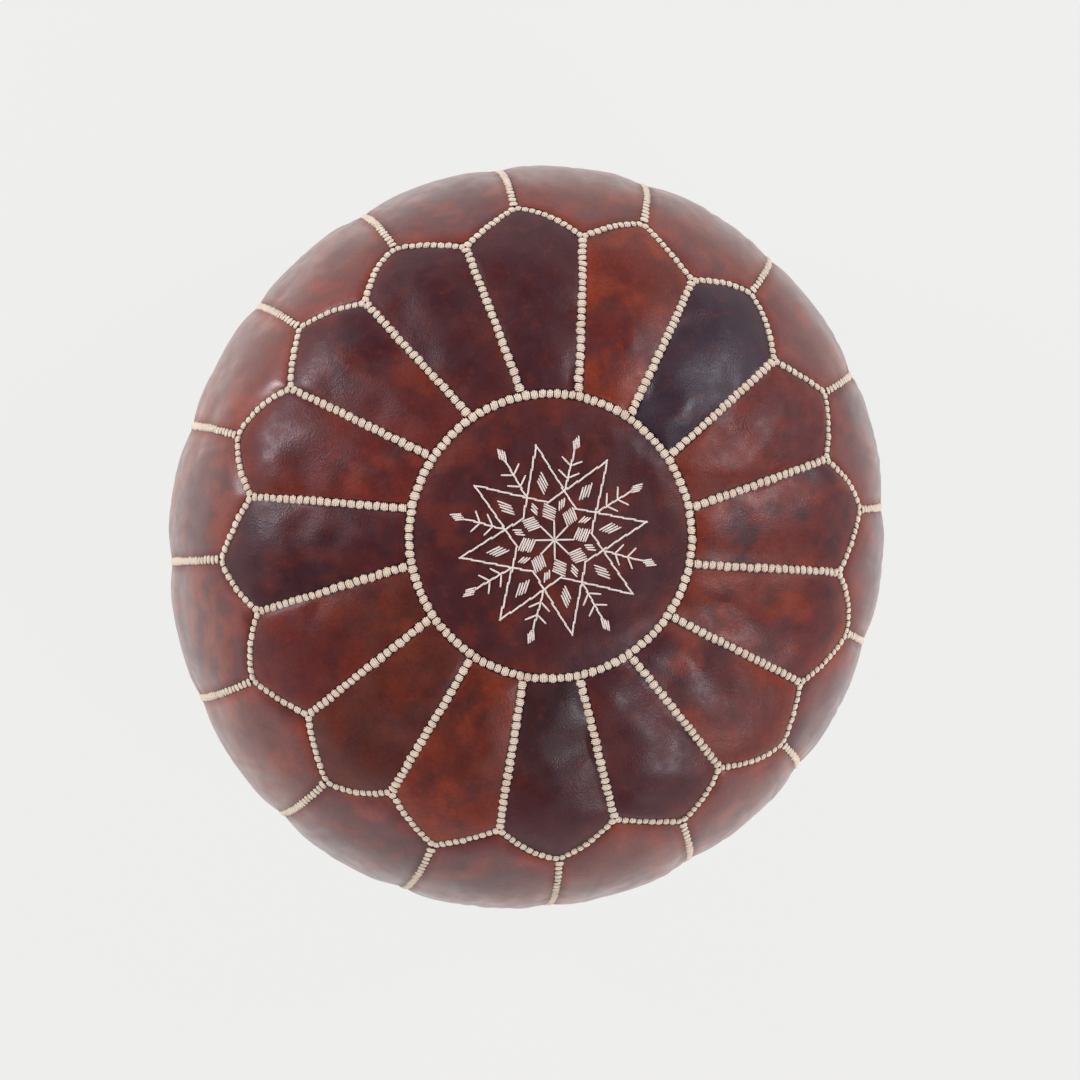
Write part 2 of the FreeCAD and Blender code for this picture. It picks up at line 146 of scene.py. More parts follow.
def srgb(red, green, blue):
    """A colour from its 0-255 screen values."""
    return tuple(((c / 255 + 0.055) / 1.055) ** 2.4 for c in (red, green, blue))


def linked(name, data):
    """A new object in the scene."""
    obj = bpy.data.objects.new(name, data)
    bpy.context.scene.collection.objects.link(obj)
    return obj


class Paint:
    """A new material, with short ways to add its nodes."""

    def __init__(self, name):
        self.material = bpy.data.materials.new(name)
        self.material.use_nodes = True
        self.nodes, self.links = self.material.node_tree.nodes, self.material.node_tree.links
        self.place = self.nodes.new("ShaderNodeTexCoord").outputs["Object"]

    def node(self, kind, vector=None, **values):
        """A node with those inputs, fed by a place where it takes one."""
        node = self.nodes.new(kind)
        if vector is not None:
            self.links.new(vector, node.inputs["Vector"])
        for name, value in values.items():
            node.inputs[name].default_value = value
        return node

    def feed(self, **values):
        """Sets the shader's inputs, each from a node or to a plain value. A name's _ stands for a space."""
        inputs = self.nodes["Principled BSDF"].inputs
        for name, value in values.items():
            socket = inputs[name.replace("_", " ")]
            if isinstance(value, bpy.types.NodeSocket):
                self.links.new(value, socket)
            else:
                socket.default_value = value

    def noise(self, scale, detail=3.0, roughness=0.5, distortion=0.0, vector=None):
        """A noise texture of that many lumps per metre."""
        inputs = {"Scale": scale, "Detail": detail, "Roughness": roughness, "Distortion": distortion}
        return self.node("ShaderNodeTexNoise", vector or self.place, **inputs).outputs["Fac"]

    def curve(self, socket, low, high, out_low=0.0, out_high=1.0):
        """Maps low..high to out_low..out_high, held at its ends."""
        limits = {"From Min": low, "From Max": high, "To Min": out_low, "To Max": out_high}
        node = self.node("ShaderNodeMapRange", **limits)
        node.interpolation_type = "SMOOTHSTEP"
        self.links.new(socket, node.inputs["Value"])
        return node.outputs["Result"]

    def mix(self, factor, first, second):
        """Mixes two colours, each a socket or a plain colour."""
        node = self.nodes.new("ShaderNodeMix")
        node.data_type = "RGBA"
        self.links.new(factor, node.inputs["Factor"])
        for name, value in (("A", first), ("B", second)):
            socket = next(s for s in node.inputs if s.name == name and s.type == "RGBA")
            if isinstance(value, tuple):
                socket.default_value = (*value, 1)
            else:
                self.links.new(value, socket)
        return next(s for s in node.outputs if s.type == "RGBA")

    def bump(self, height, strength, distance, normal=None):
        node = self.node("ShaderNodeBump", Strength=strength, Distance=distance)
        self.links.new(height, node.inputs["Height"])
        if normal is not None:
            self.links.new(normal, node.inputs["Normal"])
        return node.outputs["Normal"]

    def attribute(self, name, output):
        """A number or a colour that the mesh holds at each point."""
        node = self.nodes.new("ShaderNodeAttribute")
        node.attribute_name = name
        return node.outputs[output]


# ---- the camera, the light and the floor ----


def image_point(right, up, z):
    """The point that lies that far to the right and up in the picture, at that height."""
    c, s = math.cos(VIEW_TURN), math.sin(VIEW_TURN)
    return Vector((right * c + up * s, up * c - right * s, z))


def look_at(obj, target, up):
    """Points an object's -Z at the target, with its +Y towards up."""
    back = (obj.location - target).normalized()
    right = up.cross(back).normalized()
    obj.rotation_euler = Matrix((right, back.cross(right), back)).transposed().to_euler()


def make_camera():
    data = bpy.data.cameras.new("camera")
    data.lens = LENS
    data.sensor_width = SENSOR
    camera = linked("camera", data)
    camera.location = image_point(-CAMERA_SHIFT, 0, CAMERA_HEIGHT)
    look_at(camera, image_point(*AIM), image_point(0, 1, 0))
    bpy.context.scene.camera = camera


def soft_light(name, place, size, power):
    """A square area light that shines at the pouf."""
    data = bpy.data.lights.new(name, "AREA")
    data.size = size
    data.energy = power
    data.color = LIGHT_COLOUR
    light = linked(name, data)
    light.location = image_point(*place)
    look_at(light, Vector((0, 0, 0.2)), Vector((0.1, 1, 0)))


def make_world():
    """A pale room: bright walls and a darker ceiling."""
    world = bpy.data.worlds.new("room")
    bpy.context.scene.world = world
    world.use_nodes = True
    nodes, links = world.node_tree.nodes, world.node_tree.links
    split = nodes.new("ShaderNodeSeparateXYZ")
    ramp = nodes.new("ShaderNodeValToRGB")
    links.new(nodes.new("ShaderNodeTexCoord").outputs["Generated"], split.inputs[0])
    links.new(split.outputs["Z"], ramp.inputs["Fac"])
    links.new(ramp.outputs["Color"], nodes["Background"].inputs["Color"])
    while len(ramp.color_ramp.elements) < len(ROOM_GREYS):
        ramp.color_ramp.elements.new(0.5)
    for element, (position, grey) in zip(ramp.color_ramp.elements, ROOM_GREYS):
        element.position = position
        element.color = (*(grey * tone for tone in ROOM_TONE), 1)


def make_floor():
    """A wide pale floor, a hair below the rest face."""
    mesh = bpy.data.meshes.new("floor")
    corners = ((-1, -1), (1, -1), (1, 1), (-1, 1))
    mesh.from_pydata([(x * FLOOR_REACH, y * FLOOR_REACH, FLOOR_Z) for x, y in corners], [], [(0, 1, 2, 3)])
    paint = Paint("floor")
    paint.feed(Base_Color=(0.05, 0.05, 0.0493, 1), Roughness=0.9, Specular_IOR_Level=0.0)
    paint.feed(Emission_Color=(1.0, 1.0, 0.985, 1), Emission_Strength=0.825)
    mesh.materials.append(paint.material)
    linked("floor", mesh)


make_camera()
make_world()
make_floor()
soft_light("softbox_right", (1.45, 0.75, 1.90), 0.5, 15)
soft_light("softbox_front", (1.20, -1.15, 1.85), 0.45, 12)
soft_light("softbox_left", (-1.75, 0.85, 1.35), 0.6, 21)
bpy.context.scene.view_settings.view_transform = "Standard"


# ---- the body's surface ----


def arcs():
    """The centre, radius, start and end angle of the body's four arcs, from the summit to the floor."""
    crown = np.array((0, HEIGHT - CROWN_ARC))
    side = np.array((GIRTH_RADIUS - SIDE_ARC, GIRTH_Z))
    to_crown, to_side = CROWN_ARC - SHOULDER_ARC, SIDE_ARC - SHOULDER_ARC
    apart = np.linalg.norm(side - crown)
    turn = math.acos((to_crown**2 + apart**2 - to_side**2) / (2 * to_crown * apart))
    crown_end = math.atan2(*(side - crown)[::-1]) - turn
    shoulder = crown + to_crown * np.array((math.cos(crown_end), math.sin(crown_end)))
    foot_reach = math.sqrt((SIDE_ARC - FOOT_ARC) ** 2 - (GIRTH_Z - FOOT_ARC) ** 2)
    foot = np.array((side[0] + foot_reach, FOOT_ARC))
    shoulder_end = math.atan2(*(shoulder - side)[::-1])
    side_end = math.atan2(*(foot - side)[::-1])
    return [
        (crown, CROWN_ARC, math.pi / 2, crown_end),
        (shoulder, SHOULDER_ARC, crown_end, shoulder_end),
        (side, SIDE_ARC, shoulder_end, side_end),
        (foot, FOOT_ARC, side_end, -math.pi / 2),
    ]


def sampled_profile(steps=400):
    """Arc length, radius, height and outward direction down the body's outline."""
    rows, length = [], 0.0
    for centre, radius, start, end in arcs():
        for i in range(steps):
            angle = start + (end - start) * i / steps
            point = centre + radius * np.array((math.cos(angle), math.sin(angle)))
            rows.append((length + radius * abs(end - start) * i / steps, *point, angle))
        length += radius * abs(end - start)
    return np.array(rows).T


LENGTHS, RADII, HEIGHTS, ANGLES = sampled_profile()
GIRTH_ROW = int(np.argmax(RADII))
TOTAL_LENGTH = float(LENGTHS[-1])


def down_to_radius(radius):
    """The arc length from the summit to that distance from the axis, on the top."""
    return np.interp(radius, RADII[:GIRTH_ROW], LENGTHS[:GIRTH_ROW])


def down_to_height(z):
    """The arc length from the summit to that height."""
    return np.interp(-np.asarray(z, float), -HEIGHTS, LENGTHS)


BASE_SEAM = float(down_to_height(BASE_SEAM_Z))
BASE_RADIUS = float(np.interp(BASE_SEAM, LENGTHS, RADII))
FOOT_REACH = BASE_RADIUS - float(RADII[-1])
RING = float(down_to_radius(MEDALLION_RADIUS))


def waves(theta, strays):
    """The sum of some strays at that bearing."""
    return sum(reach * np.cos(order * theta - math.radians(peak)) for order, reach, peak in strays)


def stray(theta, down):
    """How far a hand-cut cover strays at that place: turned, and further down."""
    strength = smooth(RING * 0.8, RING * 1.9, down) * (1 - smooth(BASE_SEAM * 0.72, BASE_SEAM, down))
    return waves(theta, TURNED) / VALLEY_RADIUS * strength, waves(theta, FURTHER) * DOWNHILL * strength


def settled(points):
    """Points of a round body moved to where the stuffed one has settled, oval and leaning a little."""
    radius, height = np.hypot(points[..., 0], points[..., 1]), points[..., 2]
    bearing = np.arctan2(points[..., 1], points[..., 0])
    above = smooth(0.205, 0.256, radius)
    below = smooth(0.012, 0.080, height)
    reach = np.where(height > GIRTH_Z, above, below) * smooth(0.05, 0.2, radius)
    oval = OUT_OF_ROUND * reach * np.cos(2 * (bearing - LONG_WAY))
    wide = 1 + oval + LEANS / GIRTH_RADIUS * reach * np.cos(bearing - LEANS_TO)
    return points * np.stack([wide, wide, np.ones_like(wide)], -1)


def place(theta, down, lift=0.0):
    """Points on the body, at that bearing, that arc length from the summit and that far off it."""
    theta, down = np.asarray(theta, float), np.asarray(down, float)
    turned, further = stray(theta, down)
    bearing, down = theta + turned, np.minimum(down + further, TOTAL_LENGTH)
    radius = np.interp(down, LENGTHS, RADII)
    height = np.interp(down, LENGTHS, HEIGHTS)
    slope = np.interp(down, LENGTHS, ANGLES)
    out = np.stack([np.cos(slope) * np.cos(bearing), np.cos(slope) * np.sin(bearing), np.sin(slope)], -1)
    points = settled(np.stack([radius * np.cos(bearing), radius * np.sin(bearing), height], -1))
    return points + out * np.asarray(lift, float)[..., None], out


# ---- the seam lines, as bearing and arc length ----


def flat(radius, theta):
    """A point seen from above."""
    return np.stack([radius * np.cos(theta), radius * np.sin(theta)], -1)


def on_body(points):
    """Bearing and arc length of points seen from above, on the top."""
    x, y = points[..., 0], points[..., 1]
    return np.arctan2(y, x), down_to_radius(np.hypot(x, y))


def edge_point(half, share):
    """A point on the zigzag: half counts half petals, share runs from the petal's point to the valley."""
    panel, side = divmod(half, 2)
    tip = flat(TIP_RADIUS, (panel + side) * PITCH)
    valley = flat(VALLEY_RADIUS, (panel + 0.5) * PITCH + VALLEY_TURN)
    along = share if side == 0 else 1 - share
    uneven = 0.8 + 0.5 * math.sin(1.9 * half + 1.3)
    bow = flat(EDGE_BOW * uneven, (panel + 0.25 + 0.5 * side) * PITCH)
    along = np.asarray(along, float)[..., None]
    return tip + (valley - tip) * along + bow * 4 * along * (1 - along)


def zigzag():
    """The zigzag at each of the grid's columns, seen from above, from the first petal's point round."""
    share = np.arange(HALF_COLUMNS) / HALF_COLUMNS
    return np.concatenate([edge_point(half, share) for half in range(2 * PANELS)])


def cover_grid():
    """Bearing and arc length of the grid's points, from the medallion's seam down to the base seam."""
    edge = zigzag()
    edge_theta = np.unwrap(np.arctan2(edge[:, 1], edge[:, 0]))
    ring = flat(MEDALLION_RADIUS, edge_theta - SEAM_LEAN - VALLEY_TURN)
    even = np.arange(COLUMNS) * math.tau / COLUMNS
    rows = []
    for i in range(PETAL_ROWS + 1):
        t = i / PETAL_ROWS
        theta, down = on_body(ring + (edge - ring) * t)
        rows.append((np.unwrap(theta), down))
    start = rows[-1]
    for i in range(1, SIDE_ROWS + 1):
        t = i / SIDE_ROWS
        level = smooth(0, 0.5, t)
        rows.append((start[0] + (even - start[0]) * level, start[1] + (BASE_SEAM - start[1]) * t))
    theta = np.array([r[0] for r in rows])
    return theta, np.array([r[1] for r in rows])


def seam_mask():
    """Which of the grid's points lie on a seam."""
    seams = np.zeros((PETAL_ROWS + SIDE_ROWS + 1, COLUMNS), bool)
    seams[[0, PETAL_ROWS, -1], :] = True
    seams[:PETAL_ROWS, HALF_COLUMNS :: 2 * HALF_COLUMNS] = True
    seams[PETAL_ROWS:, :: 2 * HALF_COLUMNS] = True
    return seams


def edge_distance(points):
    """How far each of the grid's points is from the nearest seam of its panel."""
    rows, columns = np.arange(points.shape[0])[:, None], np.arange(COLUMNS)[None, :]
    along = np.linalg.norm(np.diff(points, axis=0), axis=-1).cumsum(0)
    along = np.concatenate([np.zeros((1, COLUMNS)), along])
    petal = rows <= PETAL_ROWS
    near = np.where(petal, along, along - along[PETAL_ROWS])
    far = np.where(petal, along[PETAL_ROWS] - along, along[-1] - along)
    pitch = np.linalg.norm(points - np.roll(points, 1, axis=1), axis=-1)
    offset = np.where(petal, columns + HALF_COLUMNS, columns) % (2 * HALF_COLUMNS)
    across = np.minimum(offset, 2 * HALF_COLUMNS - offset) * pitch
    return np.minimum(np.minimum(near, far), across)


def quads(height, width):
    """The faces of a grid of points. They face whoever sees its rows run down and its columns run right."""
    index = np.arange(height * width).reshape(height, width)
    return np.stack([index[:-1, :-1], index[1:, :-1], index[1:, 1:], index[:-1, 1:]], -1).reshape(-1, 4)


# ---- the cover as one cloth ----


def blown_up(points, seams):
    """The grid with its panels blown up between the seams, by a cloth simulation."""
    rows, columns = points.shape[:2]
    index = np.arange(rows * columns).reshape(rows, columns)
    right = np.roll(index, -1, axis=1)
    faces = np.stack([index[:-1], index[1:], right[1:], right[:-1]], -1).reshape(-1, 4)
    mesh = bpy.data.meshes.new("cover_cloth")
    mesh.from_pydata(points.reshape(-1, 3).tolist(), [], faces.tolist())
    cloth = linked("cover_cloth", mesh)
    pins = cloth.vertex_groups.new(name="seams")
    pins.add([int(i) for i in index[seams]], 1.0, "REPLACE")
    settings = cloth.modifiers.new("cloth", "CLOTH").settings
    settings.quality = 5
    settings.mass = 0.3
    settings.tension_stiffness = settings.compression_stiffness = 30
    settings.shear_stiffness = 12
    settings.bending_stiffness = 12
    settings.tension_damping = settings.compression_damping = 12
    settings.air_damping = 4
    settings.vertex_group_mass = "seams"
    settings.shrink_min = -CLOTH_GROWTH
    settings.use_pressure = True
    settings.uniform_pressure_force = 4
    settings.effector_weights.gravity = 0
    scene = bpy.context.scene
    for number in range(1, CLOTH_FRAMES + 1):
        scene.frame_set(number)
    evaluated = cloth.evaluated_get(bpy.context.evaluated_depsgraph_get())
    moved = np.empty(rows * columns * 3, np.float32)
    evaluated.data.vertices.foreach_get("co", moved)
    scene.frame_set(1)
    bpy.data.objects.remove(cloth)
    return moved.reshape(points.shape).astype(float)


def smooth_noise(points, seed, size):
    """Smooth random numbers from about -1 to 1 over the points, with lumps of about that size."""
    rng = np.random.default_rng(seed)
    total = np.zeros(points.shape[:-1])
    for _ in range(NOISE_WAVES):
        wave = rng.normal(size=3) * math.tau / size / 1.7
        total += np.sin(points @ wave + rng.uniform(0, math.tau))
    return total / math.sqrt(NOISE_WAVES / 2)


def calmed(shift, seams):
    """The cloth's moves with their small sharp wrinkles evened out."""
    for _ in range(CALMING_ROUNDS):
        beside = (np.roll(shift, 1, axis=1) + np.roll(shift, -1, axis=1)) / 2
        above = np.concatenate([shift[:1], shift[:-1]])
        below = np.concatenate([shift[1:], shift[-1:]])
        shift = 0.4 * shift + 0.3 * beside + 0.15 * (above + below)
        shift[seams] = 0
    return shift


def make_cover_points():
    """The blown-up cover's points, capped near the body, with each point's distance from a seam."""
    theta, down = cover_grid()
    seams = seam_mask()
    flat_points, _ = place(theta, down)
    distance = edge_distance(flat_points)
    on_side = smooth(PETAL_ROWS, PETAL_ROWS + 10, np.arange(len(theta)))[:, None]
    swell = (FIRST_SWELL - SIDE_LESS * on_side) * (1 - np.exp(-distance / 0.010))
    swell = swell + 0.0004 * smooth_noise(flat_points, 5, 0.045) * smooth(0, 0.015, distance)
    start, _ = place(theta, down, swell)
    shift = calmed(blown_up(start, seams) - flat_points, seams)
    reach = np.linalg.norm(shift, axis=-1)
    limit = TOP_SWELL + (SIDE_SWELL - TOP_SWELL) * on_side
    shift *= (np.minimum(reach, limit) / np.maximum(reach, 1e-9))[..., None]
    return flat_points + shift, distance


COVER, EDGE_DISTANCE = make_cover_points()


# ---- leather ----

PLUM = srgb(76, 36, 40)
SOOT = srgb(54, 34, 36)
NIGHT = srgb(56, 46, 58)
OXBLOOD = srgb(104, 42, 40)
RUSSET = srgb(122, 50, 36)
EMBER = srgb(168, 66, 30)
UMBER = srgb(90, 42, 38)
COCOA = srgb(96, 46, 36)
BRICK = srgb(142, 62, 48)


# The painted shade along a seam, where the leather runs in under the braid, reaches this far from it.
SEAM_SHADE = 0.0031

# Each petal's dye, from the one on +X round: tone near the medallion and at its point, warm and dark patches.
PETAL_DYES = (
    (RUSSET, OXBLOOD, 0.45, 0.90), (RUSSET, OXBLOOD, 0.30, 0.25), (NIGHT, NIGHT, 0.00, 0.20),
    (OXBLOOD, RUSSET, 0.75, 0.15), (PLUM, PLUM, 0.05, 0.15), (PLUM, PLUM, 0.15, 0.20),
    (OXBLOOD, PLUM, 0.30, 0.25), (OXBLOOD, OXBLOOD, 0.45, 0.35), (PLUM, PLUM, 0.15, 0.65),
    (COCOA, OXBLOOD, 0.35, 0.20), (COCOA, COCOA, 0.20, 0.30), (COCOA, RUSSET, 0.70, 0.50),
    (SOOT, PLUM, 0.05, 0.25), (PLUM, PLUM, 0.20, 0.30), (PLUM, RUSSET, 0.60, 0.22),
    (RUSSET, OXBLOOD, 0.65, 0.60),
)

# Each side panel's tone near the zigzag and lower down, from the one after +X round. The paler lower tone is
# partly dye and partly painted sheen, lighter towards the outline.
SIDE_UPPER = [OXBLOOD if i in (0, 4, 7, 8, 10, 11, 14, 15) else RUSSET for i in range(PANELS)]
SIDE_LOWER = [RUSSET if i in (4, 7, 10, 14, 15) else BRICK for i in range(PANELS)]
SIDE_DYES_AND_SHEEN = tuple((upper, lower, 0.75, 0.22) for upper, lower in zip(SIDE_UPPER, SIDE_LOWER))

# How strongly each petal's outer end is puckered, and how many creases a side panel has.
PUCKERED = (0.4, 1.4, 0.8, 0.2, 0.2, 1.0, 1.6, 0.9, 0.8, 0.8, 0.4, 0.3, 0.5, 0.4, 0.8, 0.4)
CREASES = 7
MEDALLION_STEPS = 48


def dimmed(colour, share):
    """That share of a colour's light."""
    return tuple(c * share for c in colour)


def leather_material(name, roughness, gloss, plain=None):
    """Waxed goatskin: the tint attribute, or one plain dye, rubbed and flecked, with a fine grain."""
    paint = Paint(name)
    dark = paint.curve(paint.noise(60, 5, 0.62, 0.3), 0.42, 0.74, 0.0, 0.38)
    colour = paint.mix(dark, plain or paint.attribute("tint", "Color"), dimmed(PLUM, 0.5))
    warm = paint.curve(paint.noise(130, 5, 0.66, 0.3), 0.50, 0.80, 0.0, 0.30)
    colour = paint.mix(warm, colour, dimmed(EMBER, 0.8))
    flecks = paint.curve(paint.noise(480, 3, 0.6), 0.3, 0.7, 0.0, 0.30)
    colour = paint.mix(flecks, colour, dimmed(OXBLOOD, 0.5))
    if plain is None:
        # Painted shade: the leather goes darker close beside each seam, where it runs in under the braid.
        line = paint.curve(paint.attribute("edge", "Fac"), SEAM_SHADE, SEAM_SHADE + 0.0008, 0.85, 0.0)
        colour = paint.mix(line, colour, dimmed(PLUM, 0.2))
    worn = paint.curve(paint.noise(70, 4, 0.6), 0.3, 0.7, roughness - 0.07, roughness + 0.09)
    pebbles = paint.node("ShaderNodeTexVoronoi", paint.place, Scale=900)
    pebbles.feature = "SMOOTH_F1"
    wrinkles = paint.bump(paint.noise(170, 5, 0.65, 0.5), 0.30, 0.0006)
    grain = paint.bump(pebbles.outputs["Distance"], 0.30, 0.0003, wrinkles)
    paint.feed(Base_Color=colour, Roughness=worn, Normal=grain, Specular_IOR_Level=gloss)
    return paint


def cotton_material(name, colour, shade, strands=2600.0, sheen=0.4):
    """Soft cotton thread with fine strands."""
    paint = Paint(name)
    fuzz = paint.noise(strands, 3, 0.6)
    tone = paint.mix(paint.curve(paint.noise(60), 0.45, 0.8, 0, 0.3), colour, shade)
    tone = paint.mix(paint.curve(fuzz, 0.4, 0.75, 0, 0.25), tone, shade)
    paint.feed(Base_Color=tone, Normal=paint.bump(fuzz, 0.5, 0.0002), Roughness=0.85, Specular_IOR_Level=0.2)
    paint.feed(Sheen_Weight=sheen, Sheen_Roughness=0.6)
    return paint.material


def new_object(name, points, faces, material):
    """A smooth mesh object."""
    mesh = bpy.data.meshes.new(name)
    mesh.from_pydata(np.asarray(points).tolist(), [], [tuple(face) for face in faces])
    mesh.shade_smooth()
    mesh.materials.append(material)
    return linked(name, mesh)


def colour_points(obj, colours, distance):
    """Gives the mesh its dye and its distance from a seam at each point."""
    colours = np.concatenate([colours, np.ones((*colours.shape[:-1], 1))], -1)
    for name, kind, field, values in (
        ("tint", "FLOAT_COLOR", "color", colours),
        ("edge", "FLOAT", "value", np.maximum(distance, 0)),
    ):
        attribute = obj.data.attributes.new(name, kind, "POINT")
        attribute.data.foreach_set(field, np.asarray(values, np.float32).ravel())


def baked(obj):
    """The object with its modifiers applied."""
    mesh = bpy.data.meshes.new_from_object(obj.evaluated_get(bpy.context.evaluated_depsgraph_get()))
    obj.modifiers.clear()
    obj.data = mesh
    return obj


def thickened(obj, thickness):
    """The object with its modifiers applied and a thickness added on its inside."""
    skin = obj.modifiers.new("thickness", "SOLIDIFY")
    skin.thickness = thickness
    skin.offset = -1
    return baked(obj)


def read_points(obj, normals=False):
    """The mesh's points, or its outward directions, as an array."""
    rows = np.empty(len(obj.data.vertices) * 3, np.float32)
    obj.data.vertices.foreach_get("normal" if normals else "co", rows)
    return rows.reshape(-1, 3).astype(float)


def write_points(obj, points):
    obj.data.vertices.foreach_set("co", np.asarray(points, np.float32).ravel())
    obj.data.update()


def stand_in(obj, node):
    """Puts the piece in its node's place, on the cover's body."""
    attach(obj, "cover")
    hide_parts(node)


def finish_panel(obj, node, relief):
    """Refines the mesh, adds its relief and its thickness, and puts it in its node's place."""
    finer = obj.modifiers.new("finer", "SUBSURF")
    finer.levels = finer.render_levels = 2
    baked(obj)
    points = read_points(obj)
    edge = np.empty(len(points), np.float32)
    obj.data.attributes["edge"].data.foreach_get("value", edge)
    depth = relief(points) * smooth(0.0, 0.007, edge)
    write_points(obj, points + read_points(obj, True) * depth[:, None])
    thickened(obj, LEATHER)
    stand_in(obj, node)


def mixed(first, second, share):
    """From one colour to the other, point by point."""
    return first + (np.asarray(second) - first) * np.clip(share, 0, 1)[..., None]


def tinted(colouring, share, distance, points, seed):
    """A panel's colouring: inner and outer tone, then how strong its warm and its dark patches are.

    The share runs from 0 at the panel's upper end to 1 at its lower one. On the side panels the paler lower
    tone is partly painted sheen.
    """
    inner, outer, warm, dark = colouring
    tone = mixed(np.broadcast_to(inner, (*share.shape, 3)), outer, smooth(0.15, 0.85, share))
    patches = smooth_noise(points, 600 + seed, 0.034) + 0.5 * smooth_noise(points, 700 + seed, 0.012)
    tone = mixed(tone, EMBER, warm * 0.75 * smooth(0.2, 1.5, patches))
    blots = smooth_noise(points, 800 + seed, 0.026) + 0.5 * smooth_noise(points, 900 + seed, 0.010)
    tone = mixed(tone, dimmed(NIGHT, 0.5), dark * 0.85 * smooth(0.1, 1.4, blots))
    glow = smooth(-1.3, 0.9, smooth_noise(points, 650 + seed, 0.05))
    return mixed(tone, dimmed(EMBER, 0.9), (0.1 + warm) * np.exp(-distance / 0.013) * glow)


def make_panel(name, rows, columns, colouring, seed, leather, relief):
    """One panel, cut from the cover's grid. The leather is a material and its slot; the slot is not used."""
    material, slot = leather
    columns = np.asarray(columns) % COLUMNS
    points = COVER[rows][:, columns]
    distance = EDGE_DISTANCE[rows][:, columns]
    height, width = points.shape[:2]
    obj = new_object(f"{name}_leather", points.reshape(-1, 3), quads(height, width), material)
    share = np.repeat(np.linspace(0, 1, height)[:, None], width, 1)
    colour_points(obj, tinted(colouring, share, distance, points, seed), distance)
    finish_panel(obj, name, relief)


def petal_relief(number):
    """The soft lumps of a petal, with puckers at its outer end."""
    def relief(points):
        radius = np.hypot(points[:, 0], points[:, 1])
        lumps = 0.00042 * smooth_noise(points, 100 + number, 0.058)
        puckers = 0.00018 * smooth_noise(points, 200 + number, 0.020) * smooth(0.165, 0.215, radius)
        return lumps + puckers * PUCKERED[number]
    return relief


def creases(number, rng):
    """The creases of a side panel: bearing, start and end down the side, drift, sway, width and depth."""
    rows = []
    for _ in range(CREASES):
        start = down_to_radius(TIP_RADIUS) + rng.uniform(0.004, 0.07)
        bearing = (number + rng.uniform(0.08, 0.92)) * PITCH
        end = start + rng.uniform(0.035, 0.13)
        drift, sway = rng.uniform(-0.18, 0.18), rng.uniform(0, math.tau)
        width, depth = rng.uniform(0.0022, 0.0038), rng.uniform(0.00015, 0.00036)
        rows.append((bearing, start, end, drift, sway, width, depth))
    return rows


def side_relief(number):
    """Creases that run down the panel, and long soft waves."""
    rows = creases(number, random.Random(300 + number))

    def relief(points):
        bearing = np.arctan2(points[:, 1], points[:, 0])
        radius = np.hypot(points[:, 0], points[:, 1])
        down = down_to_height(points[:, 2])
        depth = 0.00020 * smooth_noise(points * (1, 1, 0.5), 400 + number, 0.080)
        depth += 0.00004 * smooth_noise(points * (1, 1, 0.2), 500 + number, 0.014)
        for at, start, end, drift, phase, width, deep in rows:
            turn = (bearing - at + math.pi) % math.tau - math.pi
            off = turn * radius - drift * (down - start) - 0.0015 * np.sin((down - start) * 90 + phase)
            share = smooth(start - 0.006, start + 0.02, down) * (1 - smooth(end - 0.03, end, down))
            valley = -np.exp(-((off / width) ** 2))
            ridge = 0.6 * np.exp(-(((off - 2.1 * width) / (1.4 * width)) ** 2))
            depth += deep * share * (valley + ridge)
        return depth
    return relief


def polished(paint):
    """The leather with the wax that hands have rubbed to a soft sheen. It fades out beside the seams."""
    sheen = paint.curve(paint.attribute("edge", "Fac"), 0.002, 0.011, 0.10, 0.80)
    paint.feed(Coat_Weight=sheen, Coat_Roughness=0.30)
    return paint.material


def make_panels():
    """The petals and the side panels."""
    petal_leather = leather_material("petal_leather", 0.39, 0.38).material, "petal_leather"
    side_leather = polished(leather_material("side_leather", 0.36, 0.42)), "side_leather"
    petal_rows = slice(0, PETAL_ROWS + 1)
    side_rows = slice(PETAL_ROWS, PETAL_ROWS + SIDE_ROWS + 1)
    for i in range(PANELS):
        middle = 2 * HALF_COLUMNS * i
        around = range(middle - HALF_COLUMNS, middle + HALF_COLUMNS + 1)
        after = range(middle, middle + 2 * HALF_COLUMNS + 1)
        petal, side = f"petal_{i + 1:02d}", f"side_panel_{i + 1:02d}"
        make_panel(petal, petal_rows, around, PETAL_DYES[i], i, petal_leather, petal_relief(i))
        make_panel(side, side_rows, after, SIDE_DYES_AND_SHEEN[i], 50 + i, side_leather, side_relief(i))


def medallion_lift(x, y):
    """How far the medallion's surface is off the crown: a slight swell that dips at its seam."""
    radius = np.hypot(x, y)
    swell = 0.0016 * (1 - smooth(0.08, 0.0965, radius))
    lumps = 0.0007 * smooth_noise(np.stack([x, y, 0 * x], -1), 3, 0.07)
    return swell + lumps * (1 - smooth(0.07, 0.0965, radius))


def on_medallion(x, y, lift=0.0):
    """A point on the medallion, at that place seen from above."""
    x, y = np.asarray(x, float), np.asarray(y, float)
    theta, down = np.arctan2(y, x), down_to_radius(np.hypot(x, y))
    return place(theta, down, medallion_lift(x, y) + lift)[0]


def make_medallion():
    """The round panel, on a square grid bent into a disc."""
    line = np.linspace(-1, 1, MEDALLION_STEPS + 1)
    u, v = np.meshgrid(line, line, indexing="ij")
    x, y = u * np.sqrt(1 - v * v / 2), v * np.sqrt(1 - u * u / 2)
    points = on_medallion(x * MEDALLION_RADIUS, y * MEDALLION_RADIUS)
    leather = leather_material("medallion_leather", 0.45, 0.30).material
    obj = new_object("medallion_leather", points.reshape(-1, 3), quads(*x.shape), leather)
    distance = np.maximum(MEDALLION_RADIUS * (1 - np.hypot(x, y)), 0)
    colour_points(obj, tinted((UMBER, PLUM, 0.28, 0.20), np.hypot(x, y), distance, points, 99), distance)
    finish_panel(obj, "medallion", lambda spots: 0.00008 * smooth_noise(spots, 7, 0.012))


make_panels()
make_medallion()


# ---- threads ----


